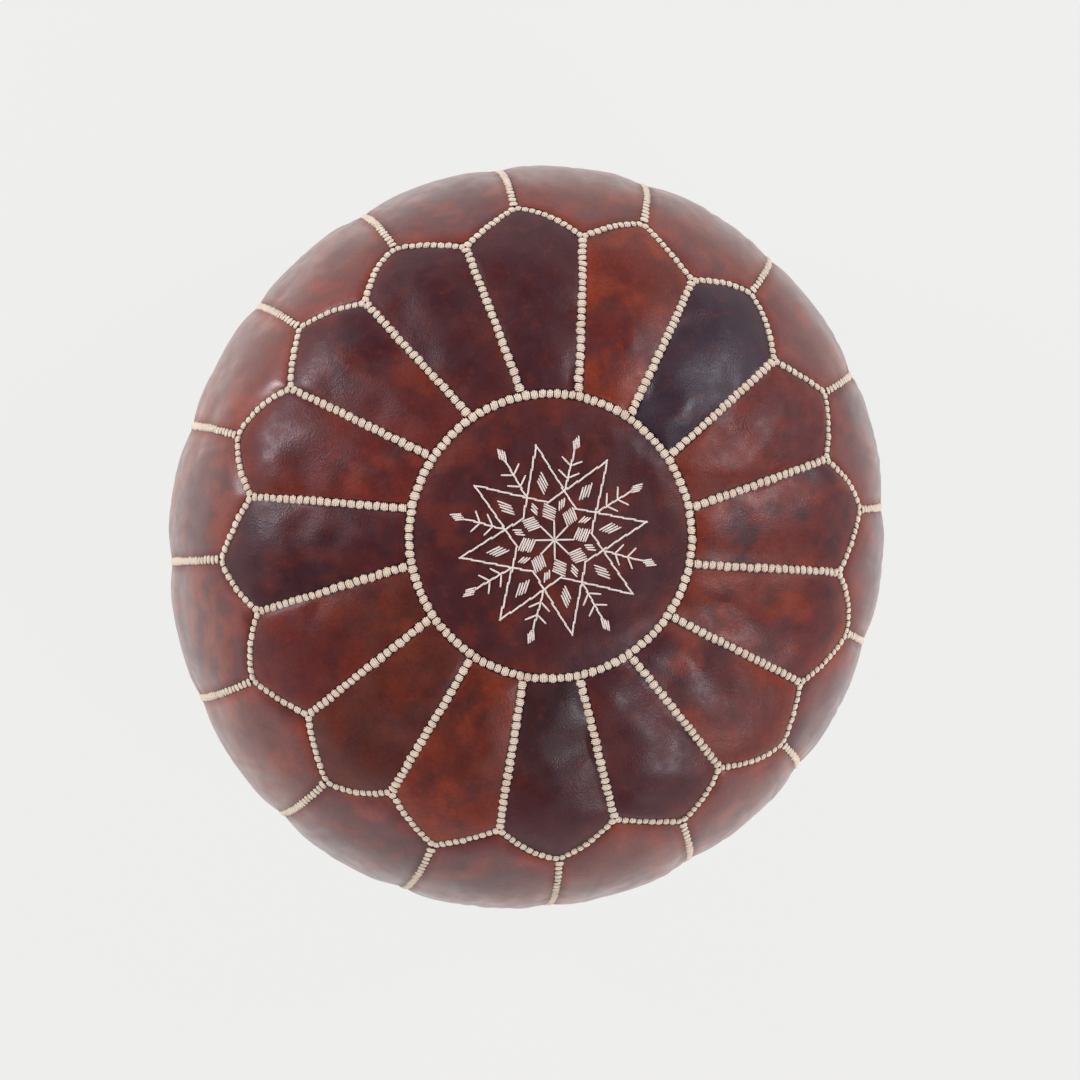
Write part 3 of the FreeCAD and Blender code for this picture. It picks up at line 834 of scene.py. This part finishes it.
def strand(sides=6, stations=7):
    """A straight thread: how far along it each point is, then its place across and up on a round section.

    The threads that use it are bent to an arch, and their thickness is set, by arched_threads.
    """
    turns = [math.tau * j / sides for j in range(sides)]
    points = [(i / (stations - 1), math.cos(turn), math.sin(turn)) for i in range(stations) for turn in turns]
    last = (stations - 1) * sides
    faces = []
    for start in range(0, last, sides):
        for j in range(sides):
            k = (j + 1) % sides
            faces.append((start + j, start + k, start + sides + k, start + sides + j))
    ends = [tuple(range(sides - 1, -1, -1)), tuple(range(last, last + sides))]
    return np.array(points), faces + ends


STRAND_POINTS, STRAND_FACES = strand()


def arched_threads(name, starts, ends, outs, thickness, rise, material):
    """One object of many short threads, each arched from its start to its end over the leather."""
    t, side, up = STRAND_POINTS.T
    chord = ends - starts
    length = np.linalg.norm(chord, axis=1, keepdims=True)
    along = chord / np.maximum(length, 1e-9)
    across = np.cross(outs, along)
    across /= np.maximum(np.linalg.norm(across, axis=1, keepdims=True), 1e-9)
    arch = np.sin(math.pi * t) ** 0.6
    slope = np.cos(math.pi * t)
    waist = 0.78 + 0.22 * np.sin(math.pi * t)
    centre = starts[:, None] + chord[:, None] * t[None, :, None]
    centre = centre + outs[:, None] * (rise[:, None] * arch[None, :])[..., None]
    half = thickness[:, None, None] / 2 * waist[None, :, None]
    lean = np.clip(rise / np.maximum(length[:, 0], 1e-9) * 2.2, 0, 0.9)[:, None] * slope[None, :]
    normal = outs[:, None] * np.sqrt(1 - lean**2)[..., None] - along[:, None] * lean[..., None]
    points = centre + across[:, None] * half * side[None, :, None] + normal * half * up[None, :, None]
    size = len(STRAND_POINTS)
    faces = [tuple(i * size + v for v in face) for i in range(len(starts)) for face in STRAND_FACES]
    return new_object(name, points.reshape(-1, 3), faces, material)


def along_line(theta, down):
    """Points, outward directions and running length of a line on the body."""
    points, outs = place(theta, down)
    steps = np.linalg.norm(np.diff(points, axis=0), axis=1)
    return points, outs, np.concatenate([[0], steps.cumsum()])


def read_line(run, values, at):
    """The point or direction at that length along a line."""
    return np.array([np.interp(at, run, values[:, c]) for c in range(3)])


def bead_places(length, first, last, rng):
    """The middles and lengths of the beads along a seam, as they grow from the first size to the last."""
    count = max(1, round(length / ((first + last) / 2)))
    sizes = [(first + (last - first) * (i + 0.5) / count) * rng.uniform(0.88, 1.12) for i in range(count)]
    scale = length / sum(sizes)
    at, places = 0.0, []
    for size in sizes:
        places.append((at + size * scale / 2, size * scale))
        at += size * scale
    return places


def beads_along(theta, down, width, rng, first, last, skip=0, end_skip=0, gap=BEAD_GAP, high=BRAID_HEIGHT):
    """The strands of the beads along a line: starts, ends, outward directions, thicknesses and rises."""
    points, outs, run = along_line(theta, down)
    rows = []
    for middle, size in bead_places(run[-1] - skip - end_skip, first, last, rng):
        scale, lean, sway = rng.uniform(0.91, 1.08), rng.uniform(-0.19, 0.19), rng.uniform(-0.0003, 0.0003)
        spacing = (size - gap) / BEAD_STRANDS
        for k in range(BEAD_STRANDS):
            offset = k - (BEAD_STRANDS - 1) / 2
            at = skip + middle + offset * spacing
            centre, ahead, behind = (read_line(run, points, at + step) for step in (0, 0.001, -0.001))
            out = read_line(run, outs, at)
            tangent = (ahead - behind) / max(np.linalg.norm(ahead - behind), 1e-9)
            across = np.cross(out, tangent)
            across = across / np.linalg.norm(across) + tangent * lean
            outermost = abs(offset) / ((BEAD_STRANDS - 1) / 2) == 1
            reach = width * scale * (0.76 if outermost else rng.uniform(0.93, 1.0)) / 2
            centre = centre + across * sway
            rise = high * (0.52 if outermost else 0.70) * rng.uniform(0.93, 1.07)
            rows.append((centre - across * reach, centre + across * reach, out, spacing * 1.08, rise))
    return rows


def make_braid(node, lines, width, material, seed):
    """A braid along one or more lines, as one piece."""
    rng = random.Random(seed)
    rows = [row for theta, down, options in lines for row in beads_along(theta, down, width, rng, **options)]
    starts, ends, outs, sizes, rises = (np.array(column) for column in zip(*rows))
    obj = arched_threads(f"{node}_cotton", starts, ends, outs, sizes, rises, material)
    stand_in(obj, node)


def petal_seam(panel):
    """The seam after that petal, from the medallion to the valley."""
    inner = flat(MEDALLION_RADIUS, (panel + 0.5) * PITCH - SEAM_LEAN)
    outer = flat(VALLEY_RADIUS, (panel + 0.5) * PITCH + VALLEY_TURN)
    t = np.linspace(0, 1, 40)[:, None]
    return on_body(inner + (outer - inner) * t)


def make_braids():
    """The four nodes of braids."""
    cotton = cotton_material("braid_cotton", srgb(255, 239, 214), srgb(228, 182, 140))
    round_theta = np.linspace(0, math.tau, 600)
    ring = (round_theta, np.full(600, RING), {"first": RING_BEAD, "last": RING_BEAD})
    make_braid("medallion_braid", [ring], BRAID_WIDTH, cotton, 11)
    growing = {"first": INNER_BEAD, "last": OUTER_BEAD, "skip": BRAID_WIDTH / 2, "end_skip": 0.0008}
    seams = [(*petal_seam(i), growing) for i in range(PANELS)]
    make_braid("petal_seam_braids", seams, BRAID_WIDTH, cotton, 12)
    edges = []
    for half in range(2 * PANELS):
        theta, down = on_body(edge_point(half, np.linspace(0, 1, 24)))
        edges.append((np.unwrap(theta), down, {"first": EDGE_BEAD, "last": EDGE_BEAD}))
    make_braid("petal_edge_braid", edges, EDGE_BRAID_WIDTH, cotton, 13)
    down = np.linspace(float(down_to_radius(TIP_RADIUS)), BASE_SEAM - 0.004, 120)
    side = {"first": SIDE_BEAD, "last": SIDE_BEAD, "skip": EDGE_BRAID_WIDTH / 2, "gap": 0.0012}
    side["high"] = 0.0011
    sides = [(np.full(120, i * PITCH), down, side) for i in range(PANELS)]
    make_braid("side_seam_braids", sides, BRAID_WIDTH, cotton, 14)


make_braids()


# ---- the embroidery: an eight-fold star ----

STAR_FOLD = 8
STAR_PITCH = math.tau / STAR_FOLD
STAR_TURN = math.radians(6.5)
STAR_TIP = 0.0645
STAR_NOTCH = 0.0255
ARM_LEAN = math.radians(-1.5)
LEAF_START = 0.061
LEAF_END = 0.072
BRANCH_NODES = (0.0424, 0.0512)
BRANCH_REACH = 0.0049
BRANCH_SPREAD = 0.0072
RAY_LENGTH = 0.0136
RAY_LEAN = math.radians(-9.7)
THREAD = 0.00125
SATIN_THREAD = 0.00115
STAR_SHIFT = (0.0012, -0.0024)


def polar(radius, angle):
    return np.array((radius * math.cos(angle), radius * math.sin(angle)))


def stem_stitches(start, end, rng, length=0.0092, overlap=0.86):
    """Short slanted stitches that make a line with small steps."""
    span = np.linalg.norm(end - start)
    count = max(1, round(span / (length * overlap)))
    along = (end - start) / span
    across = np.array((-along[1], along[0]))
    stitches = []
    for i in range(count):
        middle = start + along * span * (i + 0.5) / count
        half = span / count / overlap / 2 if count > 1 else span / 2
        slant = across * THREAD * rng.uniform(0.22, 0.42) * (count > 1)
        sway = across * rng.uniform(-0.14, 0.14) * THREAD
        stitches.append((middle - along * half - slant + sway, middle + along * half + slant + sway, THREAD))
    return stitches


def satin(centre, axis, thread, stack, count, rng):
    """Parallel threads side by side. Thread and stack are a length and its degrees from the axis."""
    run = polar(thread[0], axis + math.radians(thread[1]))
    step = polar(stack[0], axis + math.radians(stack[1]))
    stitches = []
    for i in range(count):
        middle = centre + step * (i / (count - 1) - 0.5)
        half = run / 2 * rng.uniform(0.93, 1.05)
        wander = polar(0.00018, rng.uniform(0, math.tau))
        stitches.append((middle - half + wander, middle + half - wander, SATIN_THREAD))
    return stitches


def star_sector(number, rng):
    """The stitches of one of the star's sectors, with its spike along X."""
    half = STAR_PITCH / 2
    spike, notch = polar(STAR_TIP, 0), polar(STAR_NOTCH, STAR_PITCH)
    rise, run = notch[1], STAR_TIP - notch[0]
    share = STAR_TIP * math.tan(half) / (rise + run * math.tan(half))
    crossing = spike + (notch - spike) * share
    stitches = stem_stitches(spike, notch, rng)
    stitches += stem_stitches(spike, polar(STAR_NOTCH, -STAR_PITCH), rng)
    arm_end = half + ARM_LEAN
    stitches += stem_stitches(crossing, polar(LEAF_START + 0.001, arm_end), rng)
    out, across = polar(1, arm_end), polar(1, arm_end + math.pi / 2)
    for radius in BRANCH_NODES:
        lean = ARM_LEAN * (radius - np.linalg.norm(crossing)) / (LEAF_START - np.linalg.norm(crossing))
        node = polar(radius, half + lean)
        for side in (-1, 1):
            end = node + out * BRANCH_REACH * rng.uniform(0.9, 1.1) + across * side * BRANCH_SPREAD
            stitches.append((node, end, THREAD))
    leaf = polar((LEAF_START + LEAF_END) / 2, arm_end)
    flip = 1 if number % 2 else -1
    stitches += satin(leaf, arm_end, (0.0072, 19 * flip), (0.0046, -36 * flip), 4, rng)
    stitches += satin(polar(0.0388, math.radians(0.9)), 0, (0.0100, 16), (0.0064, -33), 4, rng)
    stitches += satin(polar(0.0246, half), half, (0.0060, 9), (0.0038, -42), 3, rng)
    stitches += satin(polar(0.0189, 0), 0, (0.0092, 56), (0.0078, -20), 6, rng)
    stitches.append((polar(0.0003, RAY_LEAN), polar(RAY_LENGTH, RAY_LEAN), THREAD))
    return stitches


def star_stitches():
    """Every stitch of the star: where it starts and ends, seen from above, and how thick it is."""
    rng = random.Random(21)
    c, s = math.cos(VIEW_TURN), math.sin(VIEW_TURN)
    shift = np.array((STAR_SHIFT[0] * c + STAR_SHIFT[1] * s, STAR_SHIFT[1] * c - STAR_SHIFT[0] * s))
    stitches = []
    for i in range(STAR_FOLD):
        turn = i * STAR_PITCH + STAR_TURN
        c, s = math.cos(turn), math.sin(turn)
        rotate = np.array(((c, -s), (s, c)))
        stitches += [(rotate @ a + shift, rotate @ b + shift, thick) for a, b, thick in star_sector(i, rng)]
    return stitches


def make_embroidery():
    """The star's threads, on the medallion."""
    thread = cotton_material("embroidery_cotton", srgb(255, 244, 230), srgb(238, 212, 192), 3400.0)
    starts, ends, thick = (np.array(column) for column in zip(*star_stitches()))
    low = on_medallion(starts[:, 0], starts[:, 1], thick * 0.1)
    high = on_medallion(ends[:, 0], ends[:, 1], thick * 0.1)
    outs = np.tile((0.0, 0.0, 1.0), (len(starts), 1))
    obj = arched_threads("medallion_embroidery_thread", low, high, outs, thick, thick * 0.4, thread)
    stand_in(obj, "medallion_embroidery")


make_embroidery()


# ---- the inside ----

# The wadding's mesh size, how far the inside stays clear of the leather, the bag's thickness, and the wave
# texture's scale for one thread a metre.
WADDING_VOXEL = 0.006
INSIDE_CLEAR = 0.0011
BAG_THICKNESS = 0.0004
WAVE_SCALE = 0.16


def remeshed(name, node):
    """A copy of a node's solid with an even mesh, settled as the stuffed body is."""
    obj = linked(name, frame["nodes"][node].data.copy())
    even = obj.modifiers.new("even", "REMESH")
    even.mode = "VOXEL"
    even.voxel_size = WADDING_VOXEL
    even.use_smooth_shade = True
    baked(obj)
    write_points(obj, settled(read_points(obj)))
    return obj


def cloth_material(name, colour, shade, threads=700.0):
    """A plain weave of that many threads per metre."""
    paint = Paint(name)
    weave = None
    for axis in ("X", "Y", "Z"):
        wave = paint.node("ShaderNodeTexWave", paint.place, Scale=threads * WAVE_SCALE, Distortion=0.6)
        wave.bands_direction = axis
        height = wave.outputs["Fac"]
        if weave is not None:
            total = paint.nodes.new("ShaderNodeMath")
            total.operation = "ADD"
            paint.links.new(weave, total.inputs[0])
            paint.links.new(height, total.inputs[1])
            height = total.outputs[0]
        weave = height
    tone = paint.mix(paint.curve(paint.noise(18, 4, 0.6), 0.35, 0.75, 0, 0.5), colour, shade)
    # Painted shade: the cloth goes darker in the weave's low places, between the threads.
    tone = paint.mix(paint.curve(weave, 0.6, 1.6, 0.45, 0), tone, shade)
    paint.feed(Base_Color=tone, Normal=paint.bump(weave, 0.4, 0.0002), Roughness=0.9)
    return paint.material


def wadding_material():
    """Matted cotton wadding: lumps, tufts and loose fibres."""
    paint = Paint("wadding_cotton")
    tufts, fibres = paint.noise(90, 6, 0.7, 1.2), paint.noise(900, 4, 0.7, 2.0)
    tone = paint.mix(paint.curve(tufts, 0.35, 0.7), srgb(214, 206, 190), srgb(240, 236, 226))
    tone = paint.mix(paint.curve(fibres, 0.55, 0.8, 0, 0.4), tone, srgb(176, 164, 146))
    normal = paint.bump(fibres, 0.5, 0.0006, paint.bump(tufts, 0.7, 0.003))
    paint.feed(Base_Color=tone, Normal=normal, Roughness=0.97, Sheen_Weight=0.25)
    return paint.material


def make_inside():
    """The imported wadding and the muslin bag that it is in."""
    wadding = remeshed("wadding", "filling")
    points, outs = read_points(wadding), read_points(wadding, True)
    lumps = 0.0004 * smooth_noise(points, 31, 0.02)
    bag_points = points + outs * (0.0006 - INSIDE_CLEAR)
    write_points(wadding, points + outs * (lumps - INSIDE_CLEAR - 0.0004)[:, None])
    bag = linked("muslin_bag", wadding.data.copy())
    write_points(bag, bag_points + outs * (0.00015 * smooth_noise(points, 32, 0.012))[:, None])
    thickened(bag, BAG_THICKNESS)
    muslin = cloth_material("muslin", srgb(224, 214, 194), srgb(190, 176, 150))
    for obj, material in ((wadding, wadding_material()), (bag, muslin)):
        obj.data.materials.clear()
        obj.data.materials.append(material)
    stand_in(wadding, "filling")
    stand_in(bag, "inner_bag")


make_inside()


# ---- the base ----


def base_under(x, y):
    """The height of the underside's channel for the zip, and of the start of the foot, off the flat rest."""
    past = np.abs(x) - CHANNEL_HALF
    steep = CHANNEL_SPREAD**2 - CHANNEL_SHORTER**2
    slope = 2 * (CHANNEL_RADIUS * CHANNEL_SPREAD - past * CHANNEL_SHORTER)
    rest = CHANNEL_RADIUS**2 - past**2 - y**2
    at_end = (np.sqrt(np.maximum(slope**2 - 4 * steep * rest, 0)) - slope) / (2 * steep)
    beside = (np.abs(y) - CHANNEL_RADIUS) / CHANNEL_SPREAD
    depth = np.where(past + CHANNEL_SHORTER * at_end > 0, at_end, beside)
    channel = CHANNEL_TOP * (1 - smooth(0, 1, np.clip(depth / CHANNEL_TOP, 0, 1)))
    into_foot = np.clip(np.hypot(x, y) - (BASE_RADIUS - FOOT_REACH), 0, FOOT_REACH)
    return channel, FOOT_ARC - np.sqrt(FOOT_ARC**2 - into_foot**2)


def base_columns():
    """Where the base's columns of points stand along X, with one at each end of the zip's slot."""
    last = math.sqrt(BASE_RADIUS**2 - (SLOT_HALF_WIDTH + 0.0004) ** 2)
    turns = [math.asin(x / BASE_RADIUS) for x in (-last, -SLOT_HALF_LENGTH, SLOT_HALF_LENGTH, last)]
    counts = (END_COLUMNS, SLOT_COLUMNS, END_COLUMNS)
    pieces = [np.linspace(turns[i], turns[i + 1], counts[i], endpoint=False) for i in range(3)]
    return BASE_RADIUS * np.sin(np.concatenate([*pieces, turns[-1:]]))


def base_mesh(side):
    """The points of one half of the base, seen from above, and its faces, with the zip's slot left open."""
    columns = base_columns()
    outer = np.sqrt(BASE_RADIUS**2 - columns**2)
    seam_rows = np.linspace(HALVES_APART, SLOT_HALF_WIDTH, SLOT_ROWS + 1)[:, None] + 0 * columns
    field = SLOT_HALF_WIDTH + (outer - SLOT_HALF_WIDTH) * np.linspace(0, 1, FIELD_ROWS + 1)[1:, None]
    y = np.concatenate([seam_rows, field]) * side
    x = np.broadcast_to(columns, y.shape)
    index = np.arange(x.size).reshape(x.shape)
    faces = np.stack([index[:-1, :-1], index[:-1, 1:], index[1:, 1:], index[1:, :-1]], -1)
    kept = np.ones(faces.shape[:2], bool)
    kept[:SLOT_ROWS, END_COLUMNS : END_COLUMNS + SLOT_COLUMNS] = False
    used, faces = np.unique(faces[kept][:, ::-side], return_inverse=True)
    return x.ravel()[used], y.ravel()[used], faces.reshape(-1, 4)


def make_base_half(name, node, side, leather):
    """One half of the base, out to the base seam. Side is 1 for the rear half and -1 for the front one."""
    x, y, faces = base_mesh(side)
    radius = np.hypot(x, y)
    channel, foot = base_under(x, y)
    spots = np.stack([x, y, 0 * x], -1)
    gathers = 0.5 + 0.5 * np.sin(np.arctan2(y, x) * GATHERS + 2 * smooth_noise(spots, 41, 0.05))
    gathers = gathers * smooth(0.150, 0.176, radius) * (1 - smooth(0.184, 0.199, radius)) * (channel <= 0)
    sag = 0.00016 * (1 + smooth_noise(spots, 42, 0.05)) * smooth(0, 0.01, BASE_RADIUS - radius)
    points = np.stack([x, y, channel + foot + 0.00030 * gathers + np.clip(sag, 0, 0.0004)], -1)
    obj = new_object(name, points, faces, leather)
    inside = np.where(np.abs(x) <= SLOT_HALF_LENGTH, np.abs(y) - SLOT_HALF_WIDTH, np.abs(y))
    distance = np.minimum(BASE_RADIUS - radius, inside)
    colours = tinted((COCOA, UMBER, 0.15, 0.25), radius / BASE_RADIUS, distance, spots, 70)
    rubbed = 0.3 * smooth(0.060, 0.120, radius) * (1 - smooth(0.168, 0.185, radius)) * (channel <= 0)
    colours = mixed(colours, srgb(140, 92, 70), rubbed * smooth(-1.4, 1, smooth_noise(spots, 43, 0.06)))
    colour_points(obj, colours, distance)
    finer = obj.modifiers.new("finer", "SUBSURF")
    finer.subdivision_type = "SIMPLE"
    finer.levels = finer.render_levels = 1
    thickened(obj, LEATHER)
    stand_in(obj, node)


def make_base():
    """The two halves of the base."""
    leather = leather_material("base_leather", 0.5, 0.30).material
    make_base_half("base_rear_leather", "base_half_rear", 1, leather)
    make_base_half("base_front_leather", "base_half_front", -1, leather)


make_base()


# ---- the zip, its threads and the welt: the frame's own shapes ----


def metal_material(name, bright, dark):
    """Worn brass: polished where it is handled and brown in its hollows, with fine scratches."""
    paint = Paint(name)
    tone = paint.mix(paint.curve(paint.noise(420, 5, 0.65, 0.4), 0.42, 0.68), bright, dark)
    stretched = paint.node("ShaderNodeMapping", paint.place, Scale=(1, 9, 9))
    scratches = paint.noise(600, 4, 0.7, vector=stretched.outputs["Vector"])
    paint.feed(Base_Color=tone, Roughness=paint.curve(scratches, 0.35, 0.7, 0.24, 0.52), Metallic=1.0)
    paint.feed(Normal=paint.bump(scratches, 0.25, 0.00004))
    return paint.material


def nylon_material(name, colour, pale):
    """Dyed nylon, a little paler where it rubs."""
    paint = Paint(name)
    rubbed = paint.noise(700, 4, 0.6)
    tone = paint.mix(paint.curve(rubbed, 0.45, 0.75, 0, 0.6), colour, pale)
    paint.feed(Base_Color=tone, Roughness=paint.curve(rubbed, 0.3, 0.7, 0.30, 0.50))
    paint.feed(Normal=paint.bump(rubbed, 0.2, 0.00005))
    return paint.material


def finish_frame():
    """Gives the frame's visible nodes their materials."""
    materials = {
        "zip_metal": metal_material("zip_brass", srgb(196, 160, 92), srgb(92, 66, 36)),
        "zip_nylon": nylon_material("zip_nylon", srgb(46, 28, 22), srgb(92, 64, 50)),
        "tape_cloth": cloth_material("zip_tape", srgb(64, 40, 30), srgb(40, 24, 18), 1800.0),
        "sewing_thread": cotton_material("sewing_thread", srgb(150, 104, 70), srgb(96, 60, 40), 5200.0, 0.1),
        "side_leather": leather_material("welt_leather", 0.45, 0.36, COCOA).material,
    }
    for part in frame["record"]["subparts"]:
        material = materials.get(part["material_slot"])
        node = frame["nodes"][part["node"]]
        if material and not node.hide_render:
            node.data.materials.clear()
            node.data.materials.append(material)


finish_frame()
